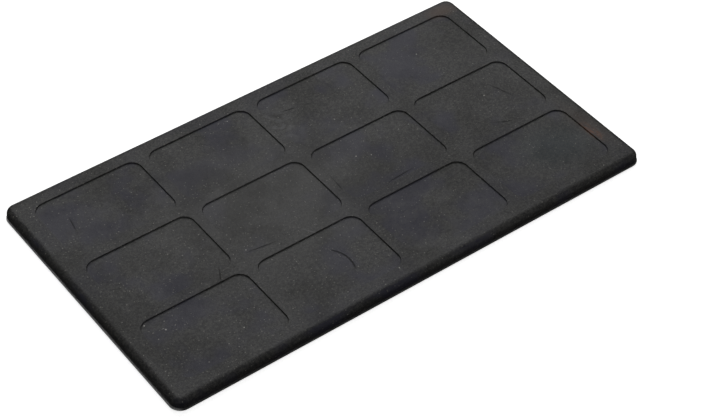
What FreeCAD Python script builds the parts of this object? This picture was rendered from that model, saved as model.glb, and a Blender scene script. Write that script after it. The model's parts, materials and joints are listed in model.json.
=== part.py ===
import FreeCAD, Part
import Sketcher
import math
import os

# Seedling heat mat: a moulded rubber cover with twelve shallow tray cells, bonded to a rubber
# base sheet.  Between them lie an insulation pad, two foils, a serpentine heating cable and a
# terminal bay with the thermal cut-out, the joints of the leads and the cord clamp.
# Frame: origin at the centre of the underside, +X along the length, +Y across, +Z up, millimetres.

doc = FreeCAD.newDocument("seedling_heat_mat")
sheet = doc.addObject("Spreadsheet::Sheet", "sizes")

# ---------------------------------------------------------------- driving dimensions

SIZES = [
    # the whole mat
    ("mat_length", 530), ("mat_width", 300), ("mat_height", 12), ("mat_corner", 12),
    # base sheet: a lip stands proud of the cover, and anti-slip grooves run along the underside
    ("base_thickness", 2), ("base_lip", 1),
    ("tread_width", 6), ("tread_depth", 0.5), ("tread_count", 21), ("tread_margin", 18),
    # cover: its wall, rounded shoulder and the groove above the lip
    ("cover_wall", 6), ("shoulder_radius", 8), ("seam_groove", 1),
    # tray cells in the cover's top
    ("cells_along", 4), ("cells_across", 3), ("end_margin", 21.4), ("side_margin", 18.8),
    ("land_along", 10.4), ("land_across", 11.2),
    ("cell_depth", 1.5), ("cell_corner", 12), ("cell_draft", 30),
    # layers inside the cover
    ("pad_thickness", 2.8), ("pad_clearance", 0.3), ("foil_clearance", 1),
    ("carrier_thickness", 0.2), ("spreader_thickness", 0.3),
    ("cable_diameter", 2.6), ("cable_gap", 0.15), ("cable_runs", 14),
    ("cable_inset", 10), ("turn_margin", 4),
    # terminal bay at the +X end
    ("terminal_zone", 48), ("bay_length", 13), ("bay_clearance", 0.5), ("bay_overhang", 6),
    # leads and their joints
    ("lead_diameter", 1.8), ("lead_pitch", 5), ("lead_bend", 3.2), ("wire_gap", 0.05),
    ("neutral_lead_inset", 13.5), ("live_lead_inset", 16), ("earth_lead_inset", 18),
    ("crimp_length", 9), ("crimp_wall", 0.3), ("sleeve_wall", 0.2), ("sleeve_overlap", 2),
    ("splice_inset", 2.5), ("splice_length", 6), ("splice_sleeve_overlap", 1.5),
    ("tail_start", 1),
    # cord inlet, its bush and the clamp behind it
    ("inlet_offset", 31), ("bush_seat_gap", 0.3), ("cord_diameter", 5.2),
    ("bush_wall", 0.7), ("bush_recess", 2), ("bush_gap", 0.05),
    ("flange_thickness", 2), ("flange_wing", 2.2), ("flange_crown", 0.2),
    ("clamp_length", 7), ("clamp_width", 16), ("clamp_setback", 1), ("clamp_floor", 1.2),
    ("clamp_squeeze", 0.8), ("clamp_side_gap", 0.2), ("strap_thickness", 0.8),
    ("screw_diameter", 1.9), ("screw_length", 5.4), ("screw_gap", 0.1),
    ("screw_head_diameter", 3.4), ("screw_head_height", 0.9),
    # earth terminal on a tab of the upper foil
    ("earth_offset", 65), ("tab_width", 12), ("tab_end_gap", 3), ("tab_root", 5),
    ("ring_inset", 7), ("ring_diameter", 7), ("ring_thickness", 0.8), ("barrel_length", 6),
    ("barrel_gap", 1.5), ("tongue_width", 2.2),
    ("rivet_diameter", 3), ("rivet_gap", 0.1), ("rivet_head_diameter", 5.2), ("rivet_head_height", 0.7),
    # thermal cut-out
    ("cutout_length", 18), ("cutout_width", 7.6), ("cutout_height", 3), ("cutout_wall", 0.3),
    ("cutout_setback", 22), ("cutout_lead_pitch", 3.6), ("cutout_sleeve_wall", 0.1),
    ("header_length", 3), ("lead_insertion", 1.6), ("header_slot", 1.2),
    ("arm_length", 11), ("arm_width", 3), ("arm_thickness", 0.25), ("arm_root", 1),
    ("contact_diameter", 2), ("contact_height", 0.4), ("contact_gap", 0.05),
    ("contact_inset", 1.5), ("contact_drop", 0.25),
    ("strip_thickness", 0.3), ("slot_gap", 0.15),
]
for row, (alias, number) in enumerate(SIZES, start=1):
    sheet.set("A%d" % row, alias)
    sheet.set("B%d" % row, str(number))
    sheet.setAlias("B%d" % row, alias)
doc.recompute()


def measure(expression):
    """The number that a sheet expression stands for."""
    return float(sheet.evalExpression(expression))


def use(text):
    """Turn {word} into the sheet's cell of that alias, in brackets."""
    names = {alias: "sizes." + alias for alias, number in SIZES}
    return "(" + text.format(**names) + ")"


# ---------------------------------------------------------------- levels and places

BASE_TOP = use("{base_thickness}")
PAD_TOP = use("{base_thickness} + {pad_thickness}")
CARRIER_TOP = use(PAD_TOP + " + {carrier_thickness}")
WIRE_LEVEL = use(CARRIER_TOP + " + {cable_gap} + {cable_diameter} / 2")
SPREADER_BOTTOM = use(WIRE_LEVEL + " + {cable_diameter} / 2 + {cable_gap}")
CAVITY_TOP = use(SPREADER_BOTTOM + " + {spreader_thickness}")

COVER_LENGTH = use("{mat_length} - 2 * {base_lip}")
COVER_WIDTH = use("{mat_width} - 2 * {base_lip}")
COVER_CORNER = use("{mat_corner} - {base_lip}")
CAVITY_LENGTH = use(COVER_LENGTH + " - 2 * {cover_wall}")
CAVITY_WIDTH = use(COVER_WIDTH + " - 2 * {cover_wall}")
CAVITY_CORNER = use(COVER_CORNER + " - {cover_wall}")
CAVITY_END = use(CAVITY_LENGTH + " / 2")
CAVITY_SIDE = use(CAVITY_WIDTH + " / 2")

CELL_LENGTH = use("({mat_length} - 2 * {end_margin} - ({cells_along} - 1) * {land_along}) / {cells_along}")
CELL_WIDTH = use("({mat_width} - 2 * {side_margin} - ({cells_across} - 1) * {land_across}) / {cells_across}")

HEATED_END = use(CAVITY_END + " - {terminal_zone}")
RUN_SIDE = use(CAVITY_SIDE + " - {cable_inset}")
RUN_PITCH = use("2 * " + RUN_SIDE + " / ({cable_runs} - 1)")

INLET_Y = use(CAVITY_SIDE + " - {inlet_offset}")
BUSH_RADIUS = use("{cord_diameter} / 2 + {bush_wall}")
INLET_LEVEL = use(BASE_TOP + " + {bush_seat_gap} + " + BUSH_RADIUS)
FLANGE_TOP = use(INLET_LEVEL + " + " + BUSH_RADIUS + " + {flange_crown}")
FLANGE_HALF_WIDTH = use(BUSH_RADIUS + " + {flange_wing}")
BAY_TOP = use(FLANGE_TOP + " + {bay_clearance}")
BUSH_END = use(COVER_LENGTH + " / 2 - {bush_recess}")
FLANGE_INNER = use(CAVITY_END + " - {bush_gap} - {flange_thickness}")
CLAMP_END = use(FLANGE_INNER + " - {clamp_setback}")
CLAMP_START = use(CLAMP_END + " - {clamp_length}")
BAY_START = use(CAVITY_END + " - {bay_length}")
THROAT_TOP = use(BASE_TOP + " + {clamp_floor} + {cord_diameter} - {clamp_squeeze}")
SCREW_Y = use("({cord_diameter} / 2 + {clamp_side_gap} + {clamp_width} / 2) / 2")

CRIMP_BORE = use("{lead_diameter} + 2 * {wire_gap}")
CRIMP_OUTER = use(CRIMP_BORE + " + 2 * {crimp_wall}")
SLEEVE_BORE = use(CRIMP_OUTER + " + 2 * {wire_gap}")
SLEEVE_OUTER = use(SLEEVE_BORE + " + 2 * {sleeve_wall}")
CORD_CRIMP_END = use(BAY_START + " - {sleeve_overlap} - {clamp_setback}")
CORD_CRIMP_START = use(CORD_CRIMP_END + " - {crimp_length}")

EARTH_Y = use(CAVITY_SIDE + " - {earth_offset}")
RING_X = use(CAVITY_END + " - {ring_inset}")
RING_TOP = SPREADER_BOTTOM
RING_BOTTOM = use(RING_TOP + " - {ring_thickness}")
BARREL_END = use(RING_X + " - {ring_diameter} / 2 - {barrel_gap}")
BARREL_START = use(BARREL_END + " - {barrel_length}")

CUTOUT_Y = use(RUN_SIDE + " - {cutout_lead_pitch} / 2")
CUTOUT_START = use(HEATED_END + " + {cutout_setback}")
CUTOUT_END = use(CUTOUT_START + " + {cutout_length}")
HEADER_END = use(CUTOUT_START + " + {header_length}")
ARM_START = use(HEADER_END + " - {arm_root}")
ARM_END = use(ARM_START + " + {arm_length}")
CONTACT_X = use(ARM_END + " - {contact_inset}")
CONTACT_LEVEL = use(WIRE_LEVEL + " - {contact_drop}")
ARM_BOTTOM = use(CONTACT_LEVEL + " + {contact_height}")
ARM_TOP = use(ARM_BOTTOM + " + {arm_thickness}")
STRIP_TOP = use(CONTACT_LEVEL + " - {contact_gap} - {contact_height}")
STRIP_BOTTOM = use(STRIP_TOP + " - {strip_thickness}")


# ---------------------------------------------------------------- small builders

def tie(item, expressions):
    """Bind properties of an item to expressions."""
    for path, expression in expressions.items():
        item.setExpression(path, expression)


def new_body(label, level="0"):
    """A body whose own origin lies at the given height."""
    item = doc.addObject("PartDesign::Body", label)
    item.Label = label
    tie(item, {"Placement.Base.z": level})
    return item


def new_sketch(body, name, across="0", up="0", out="0", role="XY_Plane"):
    """A sketch on one of the body's origin planes, offset in the plane (across, up) and out of it."""
    item = body.newObject("Sketcher::SketchObject", name)
    plane = [feature for feature in body.Origin.OriginFeatures if feature.Role == role][0]
    item.AttachmentSupport = (plane, "")
    item.MapMode = "FlatFace"
    tie(item, {
        "AttachmentOffset.Base.x": across,
        "AttachmentOffset.Base.y": up,
        "AttachmentOffset.Base.z": out,
    })
    return item


def tie_constraint(sketch, name, constraint, expression):
    """Add a dimension to a sketch and bind it."""
    index = sketch.addConstraint(constraint)
    sketch.renameConstraint(index, name)
    sketch.setExpression("Constraints." + name, expression)


def draw_rounded(sketch, length, width, corner, prefix="outline"):
    """A rectangle with round corners about the sketch's origin."""
    half_length = measure(length) / 2
    half_width = measure(width) / 2
    radius = measure(corner)
    x = half_length - radius
    y = half_width - radius
    first = sketch.GeometryCount
    for quarter, (cx, cy) in enumerate([(x, y), (-x, y), (-x, -y), (x, -y)]):
        circle = Part.Circle(FreeCAD.Vector(cx, cy, 0), FreeCAD.Vector(0, 0, 1), radius)
        sketch.addGeometry(Part.ArcOfCircle(circle, quarter * math.pi / 2, (quarter + 1) * math.pi / 2))
    sides = [
        ((x, half_width), (-x, half_width)), ((-half_length, y), (-half_length, -y)),
        ((-x, -half_width), (x, -half_width)), ((half_length, -y), (half_length, y)),
    ]
    for start, end in sides:
        sketch.addGeometry(Part.LineSegment(FreeCAD.Vector(*start, 0), FreeCAD.Vector(*end, 0)))
    arcs = [first + k for k in range(4)]
    lines = [first + 4 + k for k in range(4)]
    for k in range(4):
        sketch.addConstraint(Sketcher.Constraint("Tangent", arcs[k], 2, lines[k], 1))
        sketch.addConstraint(Sketcher.Constraint("Tangent", lines[k], 2, arcs[(k + 1) % 4], 1))
    for k in (0, 2):
        sketch.addConstraint(Sketcher.Constraint("Horizontal", lines[k]))
        sketch.addConstraint(Sketcher.Constraint("Vertical", lines[k + 1]))
    for k in (1, 2, 3):
        sketch.addConstraint(Sketcher.Constraint("Equal", arcs[0], arcs[k]))
    sketch.addConstraint(Sketcher.Constraint("Symmetric", arcs[0], 3, arcs[2], 3, -1, 1))
    tie_constraint(sketch, prefix + "_corner", Sketcher.Constraint("Radius", arcs[0], radius), corner)
    span = Sketcher.Constraint("DistanceX", lines[1], 1, lines[3], 1, 2 * half_length)
    tie_constraint(sketch, prefix + "_length", span, length)
    rise = Sketcher.Constraint("DistanceY", lines[2], 1, lines[0], 1, 2 * half_width)
    tie_constraint(sketch, prefix + "_width", rise, width)


def draw_rectangle(sketch, length, width):
    """A sharp rectangle about the sketch's origin."""
    x = measure(length) / 2
    y = measure(width) / 2
    corners = [FreeCAD.Vector(-x, -y, 0), FreeCAD.Vector(x, -y, 0), FreeCAD.Vector(x, y, 0), FreeCAD.Vector(-x, y, 0)]
    for k in range(4):
        sketch.addGeometry(Part.LineSegment(corners[k], corners[(k + 1) % 4]))
    for k in range(4):
        sketch.addConstraint(Sketcher.Constraint("Coincident", k, 2, (k + 1) % 4, 1))
    for k in (0, 2):
        sketch.addConstraint(Sketcher.Constraint("Horizontal", k))
        sketch.addConstraint(Sketcher.Constraint("Vertical", k + 1))
    sketch.addConstraint(Sketcher.Constraint("Symmetric", 0, 1, 1, 2, -1, 1))
    tie_constraint(sketch, "side_x", Sketcher.Constraint("DistanceX", 0, 1, 0, 2, 2 * x), length)
    tie_constraint(sketch, "side_y", Sketcher.Constraint("DistanceY", 1, 1, 1, 2, 2 * y), width)


def draw_circle(sketch, diameter):
    """A circle about the sketch's origin."""
    radius = measure(diameter) / 2
    sketch.addGeometry(Part.Circle(FreeCAD.Vector(0, 0, 0), FreeCAD.Vector(0, 0, 1), radius))
    sketch.addConstraint(Sketcher.Constraint("Coincident", 0, 3, -1, 1))
    tie_constraint(sketch, "diameter", Sketcher.Constraint("Diameter", 0, 2 * radius), diameter)


def new_feature(body, kind, name, sketch, length, backwards=False):
    """A Pad or Pocket of a sketch."""
    item = body.newObject("PartDesign::" + kind, name)
    item.Profile = sketch
    item.Reversed = backwards
    tie(item, {"Length": length})
    sketch.Visibility = False
    return item


def new_box(label, x, y, z):
    """A box between pairs of expressions along X, Y and Z."""
    item = doc.addObject("Part::Box", label)
    item.Label = label
    for size, axis, (low, high) in zip(("Length", "Width", "Height"), "xyz", (x, y, z)):
        tie(item, {size: "(%s) - (%s)" % (high, low), "Placement.Base." + axis: low})
    return item


TURNS = {
    "x": FreeCAD.Rotation(FreeCAD.Vector(0, 1, 0), 90),
    "z": FreeCAD.Rotation(),
}


def new_cylinder(label, axis, start, length, diameter, places):
    """A cylinder along x or z: where it starts, how long it is and where its axis lies."""
    item = doc.addObject("Part::Cylinder", label)
    item.Label = label
    item.Placement = FreeCAD.Placement(FreeCAD.Vector(), TURNS[axis])
    tie(item, {"Radius": "(%s) / 2" % diameter, "Height": length, "Placement.Base." + axis: start})
    for other, expression in places.items():
        tie(item, {"Placement.Base." + other: expression})
    return item


def new_fuse(label, items):
    """One solid out of several."""
    item = doc.addObject("Part::MultiFuse", label)
    item.Label = label
    item.Shapes = items
    return item


def new_cut(label, base, tools):
    """A base less one or more tools."""
    tool = tools[0]
    if len(tools) > 1:
        tool = doc.addObject("Part::Compound", label + "_tools")
        tool.Links = tools
    item = doc.addObject("Part::Cut", label)
    item.Label = label
    item.Base = base
    item.Tool = tool
    return item


def new_tube(label, start, length, outer, bore, y, z):
    """A round tube along X."""
    places = {"y": y, "z": z}
    outside = new_cylinder(label + "_outside", "x", start, length, outer, places)
    inside = new_cylinder(label + "_inside", "x", start, length, bore, places)
    return new_cut(label, outside, [inside])


def round_wire(points, bend):
    """A path of straight runs with a tangent arc of one radius at each point between them."""
    edges = []
    here = points[0]
    for before, corner, after in zip(points, points[1:], points[2:]):
        incoming = (corner - before).normalize()
        outgoing = (after - corner).normalize()
        turn = incoming.getAngle(outgoing)
        back = bend * math.tan(turn / 2)
        start = corner - incoming * back
        end = corner + outgoing * back
        inward = (outgoing - incoming).normalize()
        centre = corner + inward * (bend / math.cos(turn / 2))
        middle = centre - inward * bend
        if (start - here).Length > 1e-6:
            edges.append(Part.LineSegment(here, start).toShape())
        edges.append(Part.Arc(start, middle, end).toShape())
        here = end
    edges.append(Part.LineSegment(here, points[-1]).toShape())
    return Part.Wire(edges)


def sweep_round(path, diameter):
    """A round solid along a path that starts at its first vertex."""
    first = path.Edges[0]
    start = first.valueAt(first.FirstParameter)
    along = first.tangentAt(first.FirstParameter)
    section = Part.Wire([Part.Circle(start, along, diameter / 2).toShape()])
    return path.makePipeShell([section], True, False)


def new_wire(label, points, diameter, bend):
    """A lead: a round solid whose points are pairs of expressions at the level of the wires."""
    level = measure(WIRE_LEVEL)
    corners = [FreeCAD.Vector(measure(x), measure(y), level) for x, y in points]
    item = doc.addObject("Part::Feature", label)
    item.Label = label
    item.Shape = sweep_round(round_wire(corners, measure(bend)), measure(diameter))
    return item


# ---------------------------------------------------------------- base sheet

def make_base_sheet():
    body = new_body("base_sheet")
    outline = new_sketch(body, "base_outline")
    draw_rounded(outline, use("{mat_length}"), use("{mat_width}"), use("{mat_corner}"))
    new_feature(body, "Pad", "base_plate", outline, use("{base_thickness}"))
    span = use("{mat_width} - 2 * {tread_margin}")
    groove = new_sketch(body, "tread_outline", up=use("-1 * " + span + " / 2"))
    draw_rectangle(groove, use("{mat_length} - 2 * {tread_margin}"), use("{tread_width}"))
    cut = new_feature(body, "Pocket", "tread_groove", groove, use("{tread_depth}"), backwards=True)
    pattern = body.newObject("PartDesign::LinearPattern", "tread_grooves")
    pattern.Originals = [cut]
    pattern.Direction = (groove, ["V_Axis"])
    tie(pattern, {"Length": span, "Occurrences": use("{tread_count}")})
    body.Tip = pattern
    return body


# ---------------------------------------------------------------- top cover

def make_top_cover():
    body = new_body("top_cover", BASE_TOP)
    height = use("{mat_height} - {base_thickness}")
    cavity = use(CAVITY_TOP + " - " + BASE_TOP)

    outline = new_sketch(body, "cover_outline")
    draw_rounded(outline, COVER_LENGTH, COVER_WIDTH, COVER_CORNER)
    block = new_feature(body, "Pad", "cover_block", outline, height)
    doc.recompute()

    top = measure(height)
    rim = [n for n, edge in enumerate(block.Shape.Edges, start=1) if edge.BoundBox.ZMin > top - 1e-3]
    shoulder = body.newObject("PartDesign::Fillet", "shoulder")
    shoulder.Base = (block, ["Edge%d" % n for n in rim])
    tie(shoulder, {"Radius": use("{shoulder_radius}")})

    seam = new_sketch(body, "seam_outline")
    draw_rounded(seam, use("{mat_length} + 2"), use("{mat_width} + 2"), use("{mat_corner}"), "outside")
    draw_rounded(
        seam, use(COVER_LENGTH + " - 2 * {seam_groove}"), use(COVER_WIDTH + " - 2 * {seam_groove}"),
        use(COVER_CORNER + " - {seam_groove}"), "inside")
    new_feature(body, "Pocket", "seam_groove", seam, use("{seam_groove}"), backwards=True)

    hollow = new_sketch(body, "cavity_outline")
    draw_rounded(hollow, CAVITY_LENGTH, CAVITY_WIDTH, CAVITY_CORNER)
    new_feature(body, "Pocket", "cavity", hollow, cavity, backwards=True)

    bay_low = use(EARTH_Y + " - {tab_width} / 2 - {bay_overhang}")
    bay_high = use(INLET_Y + " + {clamp_width} / 2 + {bay_overhang}")
    bay = new_sketch(
        body, "bay_outline", across=use("(" + BAY_START + " + " + CAVITY_END + ") / 2"),
        up=use("(" + bay_low + " + " + bay_high + ") / 2"), out=cavity)
    draw_rectangle(bay, use(CAVITY_END + " - " + BAY_START), use(bay_high + " - " + bay_low))
    new_feature(body, "Pocket", "terminal_bay", bay, use(BAY_TOP + " - " + CAVITY_TOP), backwards=True)

    bore = new_sketch(
        body, "inlet_outline", across=INLET_Y, up=use(INLET_LEVEL + " - " + BASE_TOP),
        out=use(CAVITY_END + " - 1"), role="YZ_Plane")
    draw_circle(bore, use("2 * " + BUSH_RADIUS + " + 2 * {bush_gap}"))
    new_feature(body, "Pocket", "inlet_bore", bore, use("{cover_wall} + 2"), backwards=True)

    pitch_along = use(CELL_LENGTH + " + {land_along}")
    pitch_across = use(CELL_WIDTH + " + {land_across}")
    cell = new_sketch(
        body, "cell_outline", across=use("-1 * " + pitch_along + " * ({cells_along} - 1) / 2"),
        up=use("-1 * " + pitch_across + " * ({cells_across} - 1) / 2"), out=height)
    draw_rounded(cell, CELL_LENGTH, CELL_WIDTH, use("{cell_corner}"))
    dish = new_feature(body, "Pocket", "cell", cell, use("{cell_depth}"))
    tie(dish, {"TaperAngle": use("-1 * {cell_draft}")})
    cells = body.newObject("PartDesign::LinearPattern", "cells")
    cells.Originals = [dish]
    cells.Direction = (cell, ["H_Axis"])
    cells.Direction2 = (cell, ["V_Axis"])
    tie(cells, {
        "Length": use(pitch_along + " * ({cells_along} - 1)"), "Occurrences": use("{cells_along}"),
        "Length2": use(pitch_across + " * ({cells_across} - 1)"), "Occurrences2": use("{cells_across}"),
    })
    body.Tip = cells
    return body


# ---------------------------------------------------------------- layers inside the cover

def make_insulation_pad():
    body = new_body("insulation_pad", BASE_TOP)
    outline = new_sketch(body, "pad_outline")
    draw_rounded(
        outline, use(CAVITY_LENGTH + " - 2 * {pad_clearance}"),
        use(CAVITY_WIDTH + " - 2 * {pad_clearance}"), use(CAVITY_CORNER + " - {pad_clearance}"))
    new_feature(body, "Pad", "pad_sheet", outline, use("{pad_thickness}"))
    notch_start = use(CLAMP_START + " - {clamp_setback}")
    notch = new_sketch(
        body, "notch_outline", across=use("(" + notch_start + " + " + CAVITY_END + ") / 2"), up=INLET_Y)
    draw_rectangle(
        notch, use(CAVITY_END + " - " + notch_start), use("{clamp_width} + 2 * {clamp_setback}"))
    new_feature(body, "Pocket", "clamp_notch", notch, use("{pad_thickness}"), backwards=True)
    return body


def make_foil(label, level, thickness):
    """A foil over the heated part of the mat, with corners that follow the cavity's."""
    body = new_body(label, level)
    far_end = use("-1 * " + CAVITY_END + " + {foil_clearance}")
    outline = new_sketch(body, label + "_outline", across=use("(" + far_end + " + " + HEATED_END + ") / 2"))
    draw_rounded(
        outline, use(HEATED_END + " - " + far_end), use(CAVITY_WIDTH + " - 2 * {foil_clearance}"),
        use(CAVITY_CORNER + " - {foil_clearance}"))
    new_feature(body, "Pad", label + "_sheet", outline, thickness)
    return body


def make_spreader_foil():
    """The upper foil carries a tab with a hole for the earth rivet."""
    thickness = use("{spreader_thickness}")
    body = make_foil("spreader_foil", SPREADER_BOTTOM, thickness)
    tab_start = use(HEATED_END + " - {tab_root}")
    tab_end = use(CAVITY_END + " - {tab_end_gap}")
    tab = new_sketch(
        body, "tab_outline", across=use("(" + tab_start + " + " + tab_end + ") / 2"), up=EARTH_Y)
    draw_rectangle(tab, use(tab_end + " - " + tab_start), use("{tab_width}"))
    new_feature(body, "Pad", "earth_tab", tab, thickness)
    hole = new_sketch(body, "hole_outline", across=RING_X, up=EARTH_Y)
    draw_circle(hole, use("{rivet_diameter} + 2 * {rivet_gap}"))
    new_feature(body, "Pocket", "rivet_hole", hole, thickness, backwards=True)
    return body


def make_heating_cable():
    """A serpentine of straight runs and half circles, with a thin cold tail at each end."""
    level = measure(WIRE_LEVEL)
    side = measure(RUN_SIDE)
    pitch = measure(RUN_PITCH)
    runs = int(measure(use("{cable_runs}")))
    turn = pitch / 2
    left = -(measure(CAVITY_END) - measure(use("{cable_inset}")) - turn)
    right = measure(HEATED_END) - measure(use("{turn_margin}")) - turn
    tail = measure(HEATED_END) - measure(use("{tail_start}"))
    tip = measure(use(HEATED_END + " + {splice_inset} + {splice_length} / 2 - {wire_gap}"))
    edges = []
    start = FreeCAD.Vector(tail, side, level)
    for run in range(runs):
        y = side - run * pitch
        leftward = run % 2 == 0
        last = run == runs - 1
        turn_x = left if leftward else right
        end = FreeCAD.Vector(tail if last else turn_x, y, level)
        edges.append(Part.LineSegment(start, end).toShape())
        if not last:
            apex = FreeCAD.Vector(turn_x + (-turn if leftward else turn), y - turn, level)
            start = FreeCAD.Vector(turn_x, y - pitch, level)
            edges.append(Part.Arc(end, apex, start).toShape())
    cable = sweep_round(Part.Wire(edges), measure(use("{cable_diameter}")))
    tail_radius = measure(use("{lead_diameter}")) / 2
    tails = [
        Part.makeCylinder(
            tail_radius, tip - tail, FreeCAD.Vector(tail, y, level), FreeCAD.Vector(1, 0, 0))
        for y in (side, -side)
    ]
    item = doc.addObject("Part::Feature", "heating_cable")
    item.Label = "heating_cable"
    item.Shape = cable.fuse(tails)
    return item


# ---------------------------------------------------------------- leads and their joints

def make_wiring():
    """Three crimps for the cord's cores, two splices on the cable and the four leads."""
    items = []
    cores = {"live": "+", "neutral": None, "earth": "-"}
    core_y = {}
    for core, sign in cores.items():
        core_y[core] = INLET_Y if sign is None else use(INLET_Y + " " + sign + " {lead_pitch}")
        items.append(new_tube(
            core + "_crimp", CORD_CRIMP_START, use("{crimp_length}"), CRIMP_OUTER, CRIMP_BORE,
            core_y[core], WIRE_LEVEL))
        items.append(new_tube(
            core + "_crimp_sleeve", use(CORD_CRIMP_START + " - {sleeve_overlap}"),
            use("{crimp_length} + 2 * {sleeve_overlap}"), SLEEVE_OUTER, SLEEVE_BORE,
            core_y[core], WIRE_LEVEL))
    splice_start = use(HEATED_END + " + {splice_inset}")
    splice_y = {"live": RUN_SIDE, "return": use("-1 * " + RUN_SIDE)}
    for end, y in splice_y.items():
        items.append(new_tube(
            end + "_splice", splice_start, use("{splice_length}"), CRIMP_OUTER, CRIMP_BORE, y, WIRE_LEVEL))
        items.append(new_tube(
            end + "_splice_sleeve", use(splice_start + " - {splice_sleeve_overlap}"),
            use("{splice_length} + 2 * {splice_sleeve_overlap}"), SLEEVE_OUTER, SLEEVE_BORE, y, WIRE_LEVEL))

    crimp_middle = use(CORD_CRIMP_START + " + {crimp_length} / 2 - {wire_gap}")
    splice_middle = use(splice_start + " + {splice_length} / 2 + {wire_gap}")
    header_stop = use(CUTOUT_START + " + {lead_insertion}")
    live_hole = use(RUN_SIDE + " - {cutout_lead_pitch}")
    live_x = use(HEATED_END + " + {live_lead_inset}")
    neutral_x = use(HEATED_END + " + {neutral_lead_inset}")
    earth_x = use(HEATED_END + " + {earth_lead_inset}")
    barrel_middle = use(BARREL_START + " + {barrel_length} / 2")
    routes = {
        "live_lead": [
            (crimp_middle, core_y["live"]), (live_x, core_y["live"]),
            (live_x, live_hole), (header_stop, live_hole)],
        "neutral_lead": [
            (crimp_middle, core_y["neutral"]), (neutral_x, core_y["neutral"]),
            (neutral_x, splice_y["return"]), (splice_middle, splice_y["return"])],
        "earth_lead": [
            (crimp_middle, core_y["earth"]), (earth_x, core_y["earth"]),
            (earth_x, EARTH_Y), (barrel_middle, EARTH_Y)],
        "link_lead": [(splice_middle, RUN_SIDE), (header_stop, RUN_SIDE)],
    }
    for label, points in routes.items():
        items.append(new_wire(label, points, use("{lead_diameter}"), use("{lead_bend}")))
    return items


def make_earth_terminal():
    """A ring terminal under the foil's tab and the rivet through both."""
    middle = {"x": RING_X, "y": EARTH_Y}
    thickness = use("{ring_thickness}")
    disc = new_cylinder("ring_disc", "z", RING_BOTTOM, thickness, use("{ring_diameter}"), middle)
    tongue = new_box(
        "ring_tongue", (use(BARREL_END + " - 0.5"), use(RING_X + " - {rivet_diameter} / 2 - 1")),
        (use(EARTH_Y + " - {tongue_width} / 2"), use(EARTH_Y + " + {tongue_width} / 2")),
        (RING_BOTTOM, RING_TOP))
    barrel = new_tube(
        "ring_barrel", BARREL_START, use("{barrel_length}"), CRIMP_OUTER, CRIMP_BORE, EARTH_Y, WIRE_LEVEL)
    hole = new_cylinder(
        "ring_hole", "z", RING_BOTTOM, thickness, use("{rivet_diameter} + 2 * {rivet_gap}"), middle)
    ring = new_cut("earth_ring", new_fuse("ring_blank", [disc, tongue, barrel]), [hole])

    head = use("{rivet_head_height}")
    foil_top = CAVITY_TOP
    lower_head = new_cylinder(
        "rivet_lower_head", "z", use(RING_BOTTOM + " - {rivet_head_height}"), head,
        use("{rivet_head_diameter}"), middle)
    upper_head = new_cylinder("rivet_upper_head", "z", foil_top, head, use("{rivet_head_diameter}"), middle)
    shank = new_cylinder(
        "rivet_shank", "z", RING_BOTTOM, use(foil_top + " - " + RING_BOTTOM), use("{rivet_diameter}"), middle)
    rivet = new_fuse("earth_rivet", [lower_head, upper_head, shank])
    return [ring, rivet]


# ---------------------------------------------------------------- cord inlet and clamp

def make_inlet():
    """The bush in the end wall, and behind it the clamp's block, strap and two screws."""
    flange = new_box(
        "bush_flange", (FLANGE_INNER, use(CAVITY_END + " - {bush_gap}")),
        (use(INLET_Y + " - " + FLANGE_HALF_WIDTH), use(INLET_Y + " + " + FLANGE_HALF_WIDTH)),
        (use(BASE_TOP + " + {bush_gap}"), FLANGE_TOP))
    along = {"y": INLET_Y, "z": INLET_LEVEL}
    length = use(BUSH_END + " - " + FLANGE_INNER)
    barrel = new_cylinder("bush_barrel", "x", FLANGE_INNER, length, use("2 * " + BUSH_RADIUS), along)
    bore = new_cylinder("bush_bore", "x", FLANGE_INNER, length, use("{cord_diameter}"), along)
    bush = new_cut("inlet_bush", new_fuse("bush_blank", [flange, barrel]), [bore])

    side_low = use(INLET_Y + " - {clamp_width} / 2")
    side_high = use(INLET_Y + " + {clamp_width} / 2")
    half_throat = use("{cord_diameter} / 2 + {clamp_side_gap}")
    block = new_box("clamp_blank", (CLAMP_START, CLAMP_END), (side_low, side_high), (BASE_TOP, THROAT_TOP))
    throat = new_box(
        "clamp_throat_space", (CLAMP_START, CLAMP_END),
        (use(INLET_Y + " - " + half_throat), use(INLET_Y + " + " + half_throat)),
        (use(BASE_TOP + " + {clamp_floor}"), THROAT_TOP))
    strap_top = use(THROAT_TOP + " + {strap_thickness}")
    strap = new_box("strap_blank", (CLAMP_START, CLAMP_END), (side_low, side_high), (THROAT_TOP, strap_top))
    middle_x = use("(" + CLAMP_START + " + " + CLAMP_END + ") / 2")
    hole_size = use("{screw_diameter} + 2 * {screw_gap}")
    holes_block = []
    holes_strap = []
    screws = []
    for side, sign in (("left", "+"), ("right", "-")):
        place = {"x": middle_x, "y": use(INLET_Y + " " + sign + " " + SCREW_Y)}
        tip = use(strap_top + " - {screw_length}")
        holes_block.append(new_cylinder(
            side + "_block_hole", "z", use(tip + " - {screw_gap}"),
            use(THROAT_TOP + " - " + tip + " + {screw_gap}"), hole_size, place))
        holes_strap.append(new_cylinder(
            side + "_strap_hole", "z", THROAT_TOP, use("{strap_thickness}"), hole_size, place))
        shank = new_cylinder(
            side + "_shank", "z", tip, use("{screw_length}"), use("{screw_diameter}"), place)
        head = new_cylinder(
            side + "_head", "z", strap_top, use("{screw_head_height}"), use("{screw_head_diameter}"), place)
        screws.append(new_fuse(side + "_screw", [shank, head]))
    clamp_block = new_cut("clamp_block", block, [throat] + holes_block)
    clamp_strap = new_cut("clamp_strap", strap, holes_strap)
    clamp_screws = doc.addObject("Part::Compound", "clamp_screws")
    clamp_screws.Label = "clamp_screws"
    clamp_screws.Links = screws
    return [bush, clamp_block, clamp_strap, clamp_screws]


# ---------------------------------------------------------------- thermal cut-out

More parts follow.
